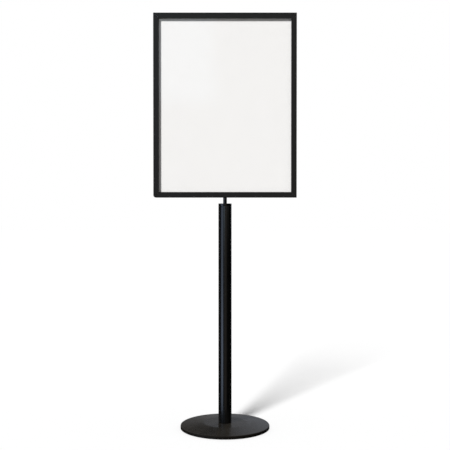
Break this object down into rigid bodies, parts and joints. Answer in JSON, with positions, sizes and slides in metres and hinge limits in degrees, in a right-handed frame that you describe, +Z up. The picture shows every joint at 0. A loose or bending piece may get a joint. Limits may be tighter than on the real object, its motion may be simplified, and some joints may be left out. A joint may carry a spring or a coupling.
{
  "type": "sign stand",
  "caption": "Free-standing sign holder: round weighted base, tubular post and a swivelling picture frame that takes a sheet on each side.",
  "frame": {"origin": "on the floor, under the centre of the round base", "axes": "+Z up along the post, the front of the sign faces -Y, +X to the right of someone reading the front"},
  "size_m": [0.57, 0.3556, 1.654],
  "materials": {
    "floor_rubber": "matt moulded",
    "weight_iron": "raw cast",
    "base_coat": "satin black powder coat",
    "post_coat": "semi-gloss black coat",
    "frame_coat": "satin black coat",
    "zinc_hardware": "zinc plated",
    "black_hardware": "black oxide",
    "bearing_plastic": "black acetal",
    "clear_lens": "clear glossy sheet",
    "poster_paper": "plain white sheet",
    "backing_card": "plain board"
  },
  "bodies": {
    "base": {"floor_ring": "floor_rubber", "base_weight": "weight_iron", "base_cover": "base_coat", "base_bolt": "zinc_hardware", "base_lock_washer": "zinc_hardware", "base_washer": "zinc_hardware", "foot_insert": "zinc_hardware", "post_tube": "post_coat", "post_cap": "post_coat", "stem_bush": "bearing_plastic", "thrust_disc": "bearing_plastic"},
    "lock_screw": {"lock_screw": "black_hardware"},
    "sign_head": {"stem": "post_coat", "nut_bar": "zinc_hardware", "bar_screw_left": "black_hardware", "bar_screw_right": "black_hardware", "top_rail": "frame_coat", "bottom_rail": "frame_coat", "left_rail": "frame_coat", "right_rail": "frame_coat", "corner_key_front_lower_left": "zinc_hardware", "corner_key_front_lower_right": "zinc_hardware", "corner_key_front_upper_right": "zinc_hardware", "corner_key_front_upper_left": "zinc_hardware", "corner_key_rear_lower_left": "zinc_hardware", "corner_key_rear_lower_right": "zinc_hardware", "corner_key_rear_upper_right": "zinc_hardware", "corner_key_rear_upper_left": "zinc_hardware", "key_screw_lower_left_a": "black_hardware", "key_screw_lower_left_b": "black_hardware", "key_screw_lower_right_a": "black_hardware", "key_screw_lower_right_b": "black_hardware", "key_screw_upper_right_a": "black_hardware", "key_screw_upper_right_b": "black_hardware", "key_screw_upper_left_a": "black_hardware", "key_screw_upper_left_b": "black_hardware", "rest_strip_left": "bearing_plastic", "rest_strip_right": "bearing_plastic"},
    "front_lens": {"front_lens": "clear_lens"},
    "front_poster": {"front_poster": "poster_paper"},
    "backing_board": {"backing_board": "backing_card"},
    "rear_poster": {"rear_poster": "poster_paper"},
    "rear_lens": {"rear_lens": "clear_lens"}
  },
  "joints": [
    {"name": "head_swivel", "type": "hinge", "parent": "base", "child": "sign_head", "pos_m": [0, 0, 0.921], "axis": [0, 0, 1], "continuous": true},
    {"name": "lock_screw_travel", "type": "slide", "parent": "base", "child": "lock_screw", "axis": [0, 1, 0], "range_m": [0, 0.004]},
    {"name": "front_lens_lift", "type": "slide", "parent": "sign_head", "child": "front_lens", "axis": [0, 0, 1], "range_m": [0, 0.725]},
    {"name": "front_poster_lift", "type": "slide", "parent": "sign_head", "child": "front_poster", "axis": [0, 0, 1], "range_m": [0, 0.725]},
    {"name": "backing_board_lift", "type": "slide", "parent": "sign_head", "child": "backing_board", "axis": [0, 0, 1], "range_m": [0, 0.725]},
    {"name": "rear_poster_lift", "type": "slide", "parent": "sign_head", "child": "rear_poster", "axis": [0, 0, 1], "range_m": [0, 0.725]},
    {"name": "rear_lens_lift", "type": "slide", "parent": "sign_head", "child": "rear_lens", "axis": [0, 0, 1], "range_m": [0, 0.725]}
  ]
}
